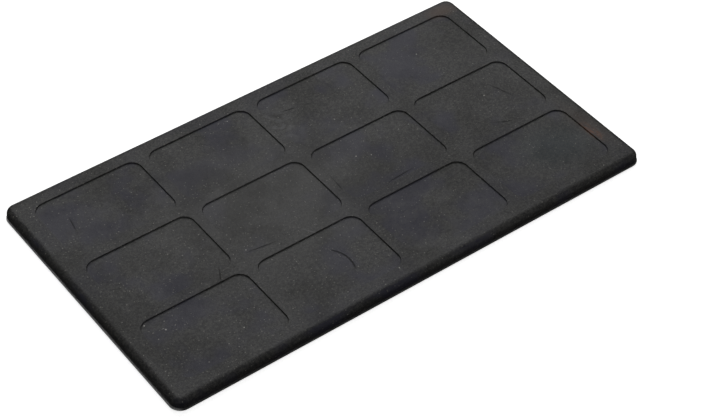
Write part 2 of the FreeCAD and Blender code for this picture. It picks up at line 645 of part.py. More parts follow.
def around(middle, half):
    """The pair of expressions that lie half a size to each side of a middle."""
    return (use(middle + " - " + half), use(middle + " + " + half))


def make_cutout():
    """A steel case, its header, a fixed contact, the bimetal arm and the sleeve over them."""
    half_width = use("{cutout_width} / 2")
    half_height = use("{cutout_height} / 2")
    inner_width = use("{cutout_width} / 2 - {cutout_wall}")
    inner_height = use("{cutout_height} / 2 - {cutout_wall}")
    shell = new_box(
        "case_blank", (CUTOUT_START, CUTOUT_END), around(CUTOUT_Y, half_width), around(WIRE_LEVEL, half_height))
    room = new_box(
        "case_room", (CUTOUT_START, use(CUTOUT_END + " - {cutout_wall}")),
        around(CUTOUT_Y, inner_width), around(WIRE_LEVEL, inner_height))
    case = new_cut("cutout_case", shell, [room])

    plug = new_box(
        "header_blank", (CUTOUT_START, HEADER_END),
        around(CUTOUT_Y, use(inner_width + " - {wire_gap}")),
        around(WIRE_LEVEL, use(inner_height + " - {wire_gap}")))
    lead_holes = [
        new_cylinder(
            name + "_lead_hole", "x", CUTOUT_START, use("{lead_insertion} + {wire_gap}"),
            CRIMP_BORE, {"y": y, "z": WIRE_LEVEL})
        for name, y in (("link", RUN_SIDE), ("live", use(RUN_SIDE + " - {cutout_lead_pitch}")))
    ]
    slot_x = (use(HEADER_END + " - {header_slot}"), HEADER_END)
    slot_y = around(CUTOUT_Y, use("{arm_width} / 2 + {slot_gap}"))
    arm_slot = new_box(
        "arm_slot", slot_x, slot_y, (use(ARM_BOTTOM + " - {slot_gap}"), use(ARM_TOP + " + {slot_gap}")))
    strip_y = around(CUTOUT_Y, use("{arm_width} / 2"))
    strip_slot = new_box("strip_slot", slot_x, strip_y, (STRIP_BOTTOM, STRIP_TOP))
    header = new_cut("cutout_header", plug, lead_holes + [arm_slot, strip_slot])

    contact = {"x": CONTACT_X, "y": CUTOUT_Y}
    strip = new_box("fixed_strip", (use(HEADER_END + " - {header_slot}"), ARM_END), strip_y, (STRIP_BOTTOM, STRIP_TOP))
    fixed_button = new_cylinder(
        "fixed_button", "z", STRIP_TOP, use("{contact_height}"), use("{contact_diameter}"), contact)
    fixed = new_fuse("cutout_fixed_contact", [strip, fixed_button])

    blade = new_box("arm_blade", (ARM_START, ARM_END), strip_y, (ARM_BOTTOM, ARM_TOP))
    moving_button = new_cylinder(
        "moving_button", "z", CONTACT_LEVEL, use("{contact_height}"), use("{contact_diameter}"), contact)
    arm = new_fuse("cutout_arm", [blade, moving_button])

    sleeve_x = (use(CUTOUT_START + " - 1"), use(CUTOUT_END + " + 1"))
    fit_width = use(half_width + " + {wire_gap}")
    fit_height = use(half_height + " + {wire_gap}")
    film = new_box(
        "sleeve_blank", sleeve_x, around(CUTOUT_Y, use(fit_width + " + {cutout_sleeve_wall}")),
        around(WIRE_LEVEL, use(fit_height + " + {cutout_sleeve_wall}")))
    film_room = new_box("sleeve_room", sleeve_x, around(CUTOUT_Y, fit_width), around(WIRE_LEVEL, fit_height))
    sleeve = new_cut("cutout_sleeve", film, [film_room])
    return [case, header, fixed, arm, sleeve]


# ---------------------------------------------------------------- assembly, checks and export

nodes = [make_base_sheet(), make_top_cover(), make_insulation_pad()]
nodes.append(make_foil("carrier_foil", PAD_TOP, use("{carrier_thickness}")))
nodes.append(make_spreader_foil())
nodes.append(make_heating_cable())
nodes += make_wiring()
nodes += make_earth_terminal()
nodes += make_inlet()
nodes += make_cutout()
doc.recompute()

for item in doc.Objects:
    if "Invalid" in item.State or "Error" in item.State:
        raise RuntimeError("%s failed: %s" % (item.Label, item.State))

os.makedirs("parts", exist_ok=True)
for node in nodes:
    shape = node.Shape
    if shape.isNull() or not shape.isValid() or not shape.Solids:
        raise RuntimeError("%s has no valid solid" % node.Label)
    shape.exportStep(os.path.join("parts", node.Label + ".step"))
    box = shape.BoundBox
    print("%-24s %d solid(s) %10.2f mm3  x %.2f..%.2f  y %.2f..%.2f  z %.2f..%.2f" % (
        node.Label, len(shape.Solids), shape.Volume,
        box.XMin, box.XMax, box.YMin, box.YMax, box.ZMin, box.ZMax))
print("nodes:", len(nodes))
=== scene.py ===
# %% [markdown]
# # Seedling heat mat
# A rubber heat mat for seed trays: a black moulded cover with a grid of shallow cells, bonded to a
# rubber base sheet, with the heating parts sealed between them.  The frame holds every part at
# its real size.  This lesson models the rubber that shows and gives each inner part its finish.

# %% Load the frame and keep its size
import json
import math

import bmesh
import bpy
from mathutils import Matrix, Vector


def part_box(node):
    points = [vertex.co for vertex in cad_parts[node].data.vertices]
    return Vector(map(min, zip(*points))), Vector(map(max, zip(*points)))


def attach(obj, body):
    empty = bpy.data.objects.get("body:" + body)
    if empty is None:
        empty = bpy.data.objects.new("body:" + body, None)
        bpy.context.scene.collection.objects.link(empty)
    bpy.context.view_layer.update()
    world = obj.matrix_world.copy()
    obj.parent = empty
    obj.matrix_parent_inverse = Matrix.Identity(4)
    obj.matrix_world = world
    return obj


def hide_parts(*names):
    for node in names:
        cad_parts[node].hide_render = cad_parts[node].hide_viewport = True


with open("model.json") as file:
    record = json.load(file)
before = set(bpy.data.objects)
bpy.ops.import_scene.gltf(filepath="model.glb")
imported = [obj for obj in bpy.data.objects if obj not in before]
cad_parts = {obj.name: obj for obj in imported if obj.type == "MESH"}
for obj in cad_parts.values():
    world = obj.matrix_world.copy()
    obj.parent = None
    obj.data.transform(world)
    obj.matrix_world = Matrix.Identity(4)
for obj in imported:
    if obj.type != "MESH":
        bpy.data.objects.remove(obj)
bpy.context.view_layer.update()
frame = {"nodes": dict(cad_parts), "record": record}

MM = 0.001

# %% [markdown]
# The camera comes first, so that every later step can be judged from the same place.  It looks
# down over the near left corner through a long lens, which keeps the far end of the mat almost
# as wide as the near end.

# %% Place the camera
SENSOR_WIDTH_MM = 36
LENS_MM = 101.87234
CAMERA_PLACE = (-0.7908, -1.1107, 1.3028)
CAMERA_TILT_DEG = 45.72
CAMERA_TURN_DEG = -36.49
VIEW_LIMIT = 50

camera_data = bpy.data.cameras.new("camera")
camera_data.sensor_width = SENSOR_WIDTH_MM
camera_data.lens = LENS_MM
camera_data.clip_end = VIEW_LIMIT
camera = bpy.data.objects.new("camera", camera_data)
bpy.context.scene.collection.objects.link(camera)
camera.location = CAMERA_PLACE
camera.rotation_euler = (math.radians(CAMERA_TILT_DEG), 0, math.radians(CAMERA_TURN_DEG))
bpy.context.scene.camera = camera
print("camera lens: %.1f mm" % camera_data.lens)

# %% [markdown]
# Every shader and every Geometry Nodes tree is wired by the same small helper.  A `Flow` wraps a
# socket and knows arithmetic, so a mask reads as a sum.  `Wiring.node` makes any other node from
# its type, its settings and the values or links of its sockets.

# %% A helper that wires nodes
class Flow:
    """A value on its way through a node tree."""

    def __init__(self, wiring, socket):
        self.wiring = wiring
        self.socket = socket

    def __add__(self, other):
        return self.wiring.math("ADD", self, other)

    def __sub__(self, other):
        return self.wiring.math("SUBTRACT", self, other)

    def __rsub__(self, other):
        return self.wiring.math("SUBTRACT", other, self)

    def __mul__(self, other):
        return self.wiring.math("MULTIPLY", self, other)

    def __truediv__(self, other):
        return self.wiring.math("DIVIDE", self, other)

    def __rtruediv__(self, other):
        return self.wiring.math("DIVIDE", other, self)

    __radd__ = __add__
    __rmul__ = __mul__


class Wiring:
    """Adds nodes to one tree."""

    def __init__(self, tree):
        self.tree = tree

    def node(self, kind, settings=None, inputs=None):
        """Make a node: its settings first, then what goes into its sockets."""
        made = self.tree.nodes.new(kind)
        for name, value in (settings or {}).items():
            setattr(made, name, value)
        for key, value in (inputs or {}).items():
            socket = made.inputs[key]
            if isinstance(value, Flow):
                self.tree.links.new(value.socket, socket)
            else:
                socket.default_value = value
        return made

    def out(self, made, key=0):
        """One output of a node as a Flow."""
        return Flow(self, made.outputs[key])

    def math(self, operation, first, second=0.0):
        made = self.node("ShaderNodeMath", {"operation": operation}, {0: first, 1: second})
        return self.out(made)

    def fit(self, value, low, high, new_low=0.0, new_high=1.0):
        """Map low..high to new_low..new_high, held inside that range, with eased ends."""
        made = self.node(
            "ShaderNodeMapRange", {"interpolation_type": "SMOOTHSTEP", "clamp": True},
            {"Value": value, "From Min": low, "From Max": high, "To Min": new_low, "To Max": new_high})
        return self.out(made)


print("node helpers ready")

# %% [markdown]
# A new piece is a mesh with its place in its vertices.  It rides on the mat's body, takes its
# finish from one slot of the record and stands for the part whose shape it refines.

# %% Helpers that make pieces
def new_object(name, mesh):
    made = bpy.data.objects.new(name, mesh)
    bpy.context.scene.collection.objects.link(made)
    return made


def mesh_from(name, points, faces):
    """A mesh from points in millimetres."""
    mesh = bpy.data.meshes.new(name)
    mesh.from_pydata([(x * MM, y * MM, z * MM) for x, y, z in points], [], faces)
    mesh.update()
    return mesh


def bands(rings, count, rising=True, first=0):
    """Faces between each ring of points and the next, for points listed ring by ring from the
    first.  Rings that go up a side or in over a top are rising.  For rings that go down or out
    the faces turn over, so that they still point outwards."""
    faces = []
    for ring in range(rings - 1):
        for k in range(count):
            here = first + ring * count + k
            beside = first + ring * count + (k + 1) % count
            if rising:
                faces.append((here, beside, beside + count, here + count))
            else:
                faces.append((here, here + count, beside + count, beside))
    return faces


def bake_modifiers(source, name):
    """A plain mesh object of what the source's modifiers give; the source is removed."""
    bpy.context.view_layer.update()
    evaluated = source.evaluated_get(bpy.context.evaluated_depsgraph_get())
    mesh = bpy.data.meshes.new_from_object(evaluated)
    mesh.name = name
    source.modifiers.clear()
    bpy.data.objects.remove(source)
    return new_object(name, mesh)


def run_tree(made, tree, values, name):
    """Run a Geometry Nodes tree on an object and give the result as a plain mesh object.
    The modifier knows an input by its identifier, which is looked up from its name."""
    modifier = made.modifiers.new("tree", "NODES")
    modifier.node_group = tree
    for item in tree.interface.items_tree:
        if item.in_out == "INPUT" and item.name in values:
            modifier[item.identifier] = values[item.name]
    return bake_modifiers(made, name)


def smooth(made, angle_deg=38):
    """Shade smooth, and sharp where two faces turn by more than the angle."""
    mesh = made.data
    mesh.polygons.foreach_set("use_smooth", [True] * len(mesh.polygons))
    mesh.set_sharp_from_angle(angle=math.radians(angle_deg))


def cut_away(made, cutters, name):
    """The object less its cutters, as a plain mesh."""
    for cutter in cutters:
        modifier = made.modifiers.new("cut", "BOOLEAN")
        modifier.operation = "DIFFERENCE"
        modifier.solver = "EXACT"
        modifier.object = cutter
    finished = bake_modifiers(made, name)
    for cutter in cutters:
        bpy.data.objects.remove(cutter)
    return finished


def open_edges(made):
    """How many edges lack a face on one side: none on a closed skin."""
    skin = bmesh.new()
    skin.from_mesh(made.data)
    found = sum(not edge.is_manifold for edge in skin.edges)
    skin.free()
    return found


print("piece helpers ready")

# %% [markdown]
# ## The shape of the rubber
# The cover is one moulding.  Its top is a grid of twelve cells that a tray's feet stand round,
# each a rounded rectangle with a steep, softly edged wall.  Round them runs a flat margin that
# rolls over a wide shoulder into the side.  The outline comes from the frame; the cells' sizes
# are the real ones, in millimetres.

# %% Sizes of the cover
cover_low, cover_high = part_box("top_cover")
base_low, base_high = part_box("base_sheet")
COVER_HALF_X = (cover_high[0] - cover_low[0]) / 2 / MM
COVER_HALF_Y = (cover_high[1] - cover_low[1]) / 2 / MM
COVER_BOTTOM = cover_low[2] / MM
COVER_TOP = cover_high[2] / MM
COVER_CORNER = 11

CELLS_ALONG = 4
CELLS_ACROSS = 3
CELL_LENGTH = 114
CELL_WIDTH = 80
CELL_CORNER = 12
CELL_DEPTH = 1.5
LAND_ALONG = 10.4
LAND_ACROSS = 11.2
PITCH_ALONG = CELL_LENGTH + LAND_ALONG
PITCH_ACROSS = CELL_WIDTH + LAND_ACROSS
print("cover %.0f x %.0f mm, cells at %.1f x %.1f mm" % (
    2 * COVER_HALF_X, 2 * COVER_HALF_Y, PITCH_ALONG, PITCH_ACROSS))

# %% [markdown]
# One cell is a tile: rings of points, each a rounded rectangle, drawn ever further in and ever
# deeper.  The outermost ring is the tile's own square-cornered border, so that tiles laid side by
# side share their border points exactly and weld into one skin.  Cutting twelve pockets out of a
# slab would be quicker to write, but would leave long thin faces that shade badly at the rims.

# %% Rings of points
CORNER_STEPS = 10
SIDE_STEPS = {"x": 24, "y": 16}
CORNER_SIGNS = [(1, 1), (-1, 1), (-1, -1), (1, -1)]


def along(start, end, steps):
    """Points after start and before end, evenly spaced."""
    return [
        (start[0] + (end[0] - start[0]) * k / steps, start[1] + (end[1] - start[1]) * k / steps)
        for k in range(1, steps)
    ]


def close_ring(corners):
    """Join four corners' points by straight sides, starting with the side along the top."""
    ring = []
    for quarter, points in enumerate(corners):
        ring += points
        following = corners[(quarter + 1) % 4][0]
        ring += along(points[-1], following, SIDE_STEPS["x" if quarter % 2 == 0 else "y"])
    return ring


def rounded_ring(half_x, half_y, radius):
    corners = []
    for quarter, (sx, sy) in enumerate(CORNER_SIGNS):
        cx = sx * (half_x - radius)
        cy = sy * (half_y - radius)
        angles = [math.pi / 2 * (quarter + k / CORNER_STEPS) for k in range(CORNER_STEPS + 1)]
        corners.append([(cx + radius * math.cos(a), cy + radius * math.sin(a)) for a in angles])
    return close_ring(corners)


def border_ring(half_x, half_y, straight_x, straight_y):
    """The tile's border, with as many points as a rounded ring."""
    corners = []
    half_steps = CORNER_STEPS // 2
    for quarter, (sx, sy) in enumerate(CORNER_SIGNS):
        tip = (sx * half_x, sy * half_y)
        on_side = (sx * half_x, sy * straight_y)
        on_top = (sx * straight_x, sy * half_y)
        start, end = (on_side, on_top) if quarter % 2 == 0 else (on_top, on_side)
        points = [start] + along(start, tip, half_steps) + [tip] + along(tip, end, half_steps) + [end]
        corners.append(points)
    return close_ring(corners)


print("points in a ring:", len(rounded_ring(10, 10, 1)))

# %% One cell as a tile
WALL_ANGLE_DEG = 76
RIM_RADIUS = 0.3
FLOOR_RADIUS = 0.35
ARC_STEPS = 4
FLOOR_RINGS = 9
LAND_RINGS = (2.4, 0.5)


def wall_profile():
    """Pairs of (distance in from the rim, depth) down a cell's wall."""
    turn = math.radians(WALL_ANGLE_DEG)
    profile = []
    for k in range(ARC_STEPS + 1):
        angle = turn * k / ARC_STEPS
        profile.append((RIM_RADIUS * math.sin(angle), RIM_RADIUS * (1 - math.cos(angle))))
    foot_depth = CELL_DEPTH - FLOOR_RADIUS * (1 - math.cos(turn))
    run = (foot_depth - profile[-1][1]) / math.tan(turn)
    centre = profile[-1][0] + run + FLOOR_RADIUS * math.sin(turn)
    for k in range(ARC_STEPS + 1):
        angle = turn * (1 - k / ARC_STEPS)
        profile.append((
            centre - FLOOR_RADIUS * math.sin(angle), CELL_DEPTH - FLOOR_RADIUS * (1 - math.cos(angle))))
    return profile


def make_tile():
    half_x = CELL_LENGTH / 2
    half_y = CELL_WIDTH / 2
    border = border_ring(
        PITCH_ALONG / 2, PITCH_ACROSS / 2, half_x - CELL_CORNER, half_y - CELL_CORNER)
    rings = [[(x, y, COVER_TOP) for x, y in border]]
    for inset, depth in [(-out, 0) for out in LAND_RINGS] + wall_profile():
        ring = rounded_ring(half_x - inset, half_y - inset, CELL_CORNER - inset)
        rings.append([(x, y, COVER_TOP - depth) for x, y in ring])
    floor_edge = rings[-1]
    for k in range(1, FLOOR_RINGS):
        shrink = 1 - k / FLOOR_RINGS
        rings.append([(x * shrink, y * shrink, z) for x, y, z in floor_edge])
    count = len(border)
    points = [point for ring in rings for point in ring]
    faces = bands(len(rings), count)
    centre = len(points)
    points.append((0, 0, floor_edge[0][2]))
    last = (len(rings) - 1) * count
    faces += [(last + k, last + (k + 1) % count, centre) for k in range(count)]
    return new_object("cell_tile", mesh_from("cell_tile", points, faces))


tile = make_tile()
print("one tile:", len(tile.data.polygons), "faces")

# %% [markdown]
# Round the block of tiles comes the margin: a band that starts on the block's own border points
# and ends at the side.  The shoulder is a quarter of an ellipse, wider than it is high, because
# the mould was eased there so that trays slide on.  Below the side is the seam groove.

# %% The margin, shoulder and side
SHOULDER_WIDTH = 7
SHOULDER_HEIGHT = 6
SHOULDER_STEPS = 16
SEAM_DEPTH = 1.0
SEAM_HEIGHT = 1.0
SEAM_TOP = COVER_BOTTOM + SEAM_HEIGHT
EASED_EDGE = 0.3
CORNER_SEGMENTS = 6
TIGHTEST_CORNER = 0.5


def side_marks(pitch, straight, steps, tiles):
    """Where the tiles' border points lie along one side of the block."""
    half_steps = CORNER_STEPS // 2
    marks = [-pitch / 2 + (pitch / 2 - straight) * k / half_steps for k in range(half_steps)]
    marks += [-straight + 2 * straight * k / steps for k in range(steps)]
    marks += [straight + (pitch / 2 - straight) * k / half_steps for k in range(half_steps)]
    start = -pitch * (tiles - 1) / 2
    found = [start + pitch * tile_number + mark for tile_number in range(tiles) for mark in marks]
    return found + [pitch * tiles / 2]


marks_x = side_marks(PITCH_ALONG, CELL_LENGTH / 2 - CELL_CORNER, SIDE_STEPS["x"], CELLS_ALONG)
marks_y = side_marks(PITCH_ACROSS, CELL_WIDTH / 2 - CELL_CORNER, SIDE_STEPS["y"], CELLS_ACROSS)


def side_points(marks, half_along, half_out, radius):
    """Points of one side of a rounded rectangle, one for each mark but the last."""
    straight = half_along - radius
    last = len(marks) - 1
    first_mark = marks[CORNER_SEGMENTS]
    points = []
    for k, mark in enumerate(marks[:-1]):
        from_corner = min(k, last - k)
        if from_corner < CORNER_SEGMENTS:
            angle = math.pi / 4 * (1 - from_corner / CORNER_SEGMENTS)
            sign = -1 if k < last / 2 else 1
            points.append((
                sign * (straight + radius * math.sin(angle)),
                half_out - radius + radius * math.cos(angle)))
        else:
            points.append((mark / -first_mark * straight, half_out))
    return points


def outline_ring(half_x, half_y, radius):
    """A rounded rectangle, anticlockwise from the near left corner."""
    near = [(a, -b) for a, b in side_points(marks_x, half_x, half_y, radius)]
    right = [(b, a) for a, b in side_points(marks_y, half_y, half_x, radius)]
    far = [(-a, b) for a, b in side_points(marks_x, half_x, half_y, radius)]
    left = [(-b, -a) for a, b in side_points(marks_y, half_y, half_x, radius)]
    return near + right + far + left


def block_ring():
    """The border of the block of tiles, point for point."""
    half_x = marks_x[-1]
    half_y = marks_y[-1]
    near = [(mark, -half_y) for mark in marks_x[:-1]]
    right = [(half_x, mark) for mark in marks_y[:-1]]
    far = [(-mark, half_y) for mark in marks_x[:-1]]
    left = [(-half_x, -mark) for mark in marks_y[:-1]]
    return near + right + far + left


def skirt_profile():
    """Pairs of (distance in from the side, height), from the flat top to the underside."""
    profile = []
    for k in range(SHOULDER_STEPS + 1):
        angle = math.pi / 2 * (1 - k / SHOULDER_STEPS)
        profile.append((
            SHOULDER_WIDTH * (1 - math.cos(angle)),
            COVER_TOP - SHOULDER_HEIGHT * (1 - math.sin(angle))))
    for k in range(ARC_STEPS + 1):
        angle = math.pi / 2 * k / ARC_STEPS
        profile.append((
            EASED_EDGE * (1 - math.cos(angle)), SEAM_TOP + EASED_EDGE * (1 - math.sin(angle))))
    profile += [(SEAM_DEPTH, SEAM_TOP), (SEAM_DEPTH, COVER_BOTTOM)]
    return profile


def make_skirt():
    corner_slope = (COVER_CORNER - TIGHTEST_CORNER) / SHOULDER_WIDTH
    rings = [[(x, y, COVER_TOP) for x, y in block_ring()]]
    for inset, height in skirt_profile():
        ring = outline_ring(
            COVER_HALF_X - inset, COVER_HALF_Y - inset, COVER_CORNER - corner_slope * inset)
        rings.append([(x, y, height) for x, y in ring])
    count = len(rings[0])
    points = [point for ring in rings for point in ring]
    faces = bands(len(rings), count, rising=False)
    last = (len(rings) - 1) * count
    faces.append(tuple(last + k for k in reversed(range(count))))
    return new_object("skirt", mesh_from("skirt", points, faces))


skirt = make_skirt()
print("skirt:", len(skirt.data.polygons), "faces round", len(marks_x), "x", len(marks_y), "marks")

# %% [markdown]
# The tiles repeat by rule, so Geometry Nodes lays them: a point for each cell, the tile on each
# point, the skirt joined on and everything welded.  Rubber that has cooled out of a mould is never
# quite flat, so the same tree lets a slow noise pull the top down by a fraction of a millimetre.

# %% A tree that lays the cells
WELD_DISTANCE = 0.02
SAG = 0.3
SAG_SEED = 4.0
SAG_WAVES = 9.0
SAG_DETAIL = 1.5
STILL_BELOW = 6


def add_input(tree, name, kind, value):
    """A named input of a tree, with its value unless it is geometry, an object or a material."""
    socket = tree.interface.new_socket(name=name, in_out="INPUT", socket_type=kind)
    if value is not None:
        socket.default_value = value
    return socket


def make_cover_tree():
    tree = bpy.data.node_groups.new("cover_skin", "GeometryNodeTree")
    add_input(tree, "Tile", "NodeSocketGeometry", None)
    add_input(tree, "Skirt", "NodeSocketObject", None)
    add_input(tree, "Cells Along", "NodeSocketInt", CELLS_ALONG)
    add_input(tree, "Cells Across", "NodeSocketInt", CELLS_ACROSS)
    add_input(tree, "Pitch Along", "NodeSocketFloat", PITCH_ALONG * MM)
    add_input(tree, "Pitch Across", "NodeSocketFloat", PITCH_ACROSS * MM)
    add_input(tree, "Sag", "NodeSocketFloat", SAG * MM)
    add_input(tree, "Sag Seed", "NodeSocketFloat", SAG_SEED)
    add_input(tree, "Rubber", "NodeSocketMaterial", None)
    tree.interface.new_socket(name="Cover", in_out="OUTPUT", socket_type="NodeSocketGeometry")

    wiring = Wiring(tree)
    given = wiring.node("NodeGroupInput")
    along_count = wiring.out(given, "Cells Along")
    across_count = wiring.out(given, "Cells Across")
    places = wiring.node("GeometryNodeMeshGrid", {}, {
        "Vertices X": along_count, "Vertices Y": across_count,
        "Size X": wiring.out(given, "Pitch Along") * (along_count - 1),
        "Size Y": wiring.out(given, "Pitch Across") * (across_count - 1)})
    laid = wiring.node("GeometryNodeInstanceOnPoints", {}, {
        "Points": wiring.out(places, "Mesh"), "Instance": wiring.out(given, "Tile")})
    flat = wiring.node("GeometryNodeRealizeInstances", {}, {0: wiring.out(laid)})
    margin = wiring.node("GeometryNodeObjectInfo", {}, {"Object": wiring.out(given, "Skirt")})
    joined = wiring.node("GeometryNodeJoinGeometry")
    for part in (wiring.out(flat), wiring.out(margin, "Geometry")):
        tree.links.new(part.socket, joined.inputs[0])
    welded = wiring.node(
        "GeometryNodeMergeByDistance", {},
        {0: wiring.out(joined), "Distance": WELD_DISTANCE * MM})

    position = wiring.node("GeometryNodeInputPosition")
    height = wiring.out(wiring.node("ShaderNodeSeparateXYZ", {}, {0: wiring.out(position)}), "Z")
    waves = wiring.node("ShaderNodeTexNoise", {"noise_dimensions": "4D"}, {
        "Vector": wiring.out(position), "W": wiring.out(given, "Sag Seed"),
        "Scale": SAG_WAVES, "Detail": SAG_DETAIL})
    on_top = wiring.fit(height, STILL_BELOW * MM, COVER_TOP * MM - CELL_DEPTH * MM)
    drop = wiring.out(waves) * on_top * wiring.out(given, "Sag") * -1
    offset = wiring.node("ShaderNodeCombineXYZ", {}, {"Z": drop})
    moved = wiring.node(
        "GeometryNodeSetPosition", {}, {0: wiring.out(welded), "Offset": wiring.out(offset)})
    real = wiring.node("GeometryNodeRealizeInstances", {}, {0: wiring.out(moved)})
    finished = wiring.node("GeometryNodeSetMaterial", {}, {
        0: wiring.out(real), "Material": wiring.out(given, "Rubber")})
    wiring.node("NodeGroupOutput", {}, {0: wiring.out(finished)})
    return tree


cover_rubber = bpy.data.materials.new("cover_rubber")
slab = run_tree(tile, make_cover_tree(), {"Skirt": skirt, "Rubber": cover_rubber}, "cover_slab")
bpy.data.objects.remove(skirt)
print("cover slab:", len(slab.data.polygons), "faces, open edges:", open_edges(slab))

# %% [markdown]
# Inside, the moulding is hollow: a low cavity for the heating layers, a taller bay at one end for
# the earth terminal and the cord clamp, and a round hole through the end wall for the cord's bush.
# Cutting them out of the slab leaves the skin above untouched.

# %% Hollow the cover
CAVITY_INSET = 6
CAVITY_CORNER = 5
BAY_LENGTH = 13
BAY_TOP = 9.6
BAY_SPAN = (66, 126)
BORE_RADIUS = 3.35
BORE_SIDES = 40
BUSH_CLEARANCE = 0.05
BUSH_LIFT = 0.3
OVERRUN = 1


def closed_pair(name, points, count):
    """Two rings of points joined by a band and closed by a face at each end."""
    ends = [tuple(reversed(range(count))), tuple(range(count, 2 * count))]
    return new_object(name, mesh_from(name, points, ends + bands(2, count)))


def prism(name, outline, low, high):
    """A closed upright solid over an anticlockwise outline."""
    count = len(outline)
    points = [(x, y, low) for x, y in outline] + [(x, y, high) for x, y in outline]
    return closed_pair(name, points, count)


def rod_along_x(name, start, end, y, z, radius, sides):
    """A closed round rod along X."""
    angles = [2 * math.pi * k / sides for k in range(sides)]
    rim = [(y + radius * math.cos(a), z + radius * math.sin(a)) for a in angles]
    points = [(start, py, pz) for py, pz in rim] + [(end, py, pz) for py, pz in rim]
    return closed_pair(name, points, sides)


cavity_half_x = COVER_HALF_X - CAVITY_INSET
cavity_half_y = COVER_HALF_Y - CAVITY_INSET
cavity_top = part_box("spreader_foil")[1][2] / MM
bush_low, bush_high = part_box("inlet_bush")
inlet_y = (bush_low[1] + bush_high[1]) / 2 / MM
bush_radius = BORE_RADIUS - BUSH_CLEARANCE
inlet_z = COVER_BOTTOM + BUSH_LIFT + bush_radius
cut_from = COVER_BOTTOM - OVERRUN
cavity_outline = rounded_ring(cavity_half_x, cavity_half_y, CAVITY_CORNER)
bay_start = cavity_half_x - BAY_LENGTH
bay_near, bay_far = BAY_SPAN
bay_outline = [
    (bay_start, bay_near), (cavity_half_x, bay_near),
    (cavity_half_x, bay_far), (bay_start, bay_far)]
cutters = [
    prism("cavity", cavity_outline, cut_from, cavity_top),
    prism("bay", bay_outline, cut_from, BAY_TOP),
    rod_along_x(
        "bore", cavity_half_x - OVERRUN, COVER_HALF_X + OVERRUN,
        inlet_y, inlet_z, BORE_RADIUS, BORE_SIDES),
]
cover = cut_away(slab, cutters, "moulded_cover")
smooth(cover)
print("moulded cover:", len(cover.data.polygons), "faces")

# %% [markdown]
# The base sheet is cut a little larger than the cover, so a thin lip runs all round the seam.
# Its edges are eased, and shallow grooves along its underside keep the mat from sliding.  The
# grooves are one bar repeated at an even pitch, which is again work for Geometry Nodes.

# %% The base sheet
BASE_CORNER = 12
LIP_EDGE = 0.8
GROOVE_COUNT = 21
GROOVE_WIDTH = 6
GROOVE_DEPTH = 0.5
GROOVE_MARGIN = 18
GROOVE_CORNER = 1.5
base_half_x = (base_high[0] - base_low[0]) / 2 / MM
base_half_y = (base_high[1] - base_low[1]) / 2 / MM
base_top = base_high[2] / MM


def eased_plate(name, half_x, half_y, corner, low, high, ease):
    """A flat plate with round corners and quarter-round edges above and below."""
    profile = []
    for k in range(ARC_STEPS + 1):
        angle = math.pi / 2 * k / ARC_STEPS
        profile.append((ease * (1 - math.sin(angle)), low + ease * (1 - math.cos(angle))))
    for k in range(ARC_STEPS + 1):
        angle = math.pi / 2 * (1 - k / ARC_STEPS)
        profile.append((ease * (1 - math.sin(angle)), high - ease * (1 - math.cos(angle))))
    points = []
    for inset, height in profile:
        ring = rounded_ring(half_x - inset, half_y - inset, corner - inset)
        points += [(x, y, height) for x, y in ring]
    count = len(points) // len(profile)
    underside = tuple(reversed(range(count)))
    top = tuple(range(len(points) - count, len(points)))
    faces = [underside] + bands(len(profile), count) + [top]
    return new_object(name, mesh_from(name, points, faces))


def make_groove_tree():
    tree = bpy.data.node_groups.new("groove_rows", "GeometryNodeTree")
    add_input(tree, "Bar", "NodeSocketGeometry", None)
    add_input(tree, "Count", "NodeSocketInt", GROOVE_COUNT)
    add_input(tree, "Span", "NodeSocketFloat", 2 * (base_half_y - GROOVE_MARGIN) * MM)
    add_input(tree, "Finish", "NodeSocketMaterial", None)
    tree.interface.new_socket(name="Bars", in_out="OUTPUT", socket_type="NodeSocketGeometry")
    wiring = Wiring(tree)
    given = wiring.node("NodeGroupInput")
    count = wiring.out(given, "Count")
    span = wiring.out(given, "Span")
    start = wiring.node("ShaderNodeCombineXYZ", {}, {"Y": span * -0.5})
    step = wiring.node("ShaderNodeCombineXYZ", {}, {"Y": span / (count - 1)})
    row = wiring.node("GeometryNodeMeshLine", {}, {
        "Count": count, "Start Location": wiring.out(start), "Offset": wiring.out(step)})
    laid = wiring.node("GeometryNodeInstanceOnPoints", {}, {
        "Points": wiring.out(row), "Instance": wiring.out(given, "Bar")})
    real = wiring.node("GeometryNodeRealizeInstances", {}, {0: wiring.out(laid)})
    finished = wiring.node("GeometryNodeSetMaterial", {}, {
        0: wiring.out(real), "Material": wiring.out(given, "Finish")})
    wiring.node("NodeGroupOutput", {}, {0: wiring.out(finished)})
    return tree


base_rubber = bpy.data.materials.new("base_rubber")
bar = prism(
    "groove_bar", rounded_ring(base_half_x - GROOVE_MARGIN, GROOVE_WIDTH / 2, GROOVE_CORNER),
    -OVERRUN, GROOVE_DEPTH)
bars = run_tree(bar, make_groove_tree(), {"Finish": base_rubber}, "groove_bars")
plate = eased_plate("base_plate", base_half_x, base_half_y, BASE_CORNER, 0, base_top, LIP_EDGE)
base = cut_away(plate, [bars], "ribbed_base")
smooth(base)
print("ribbed base:", len(base.data.polygons), "faces,", GROOVE_COUNT, "grooves")

# %% [markdown]
# The cord's bush shows as a small ring in the end wall.  It keeps the shape of its part, with its
# sharp edges eased: a copy of the part's mesh is welded, made of whole faces again and bevelled.

# %% The inlet bush
BUSH_EASE = 0.2
SAME_POINT = 1e-6
SAME_PLANE_DEG = 1


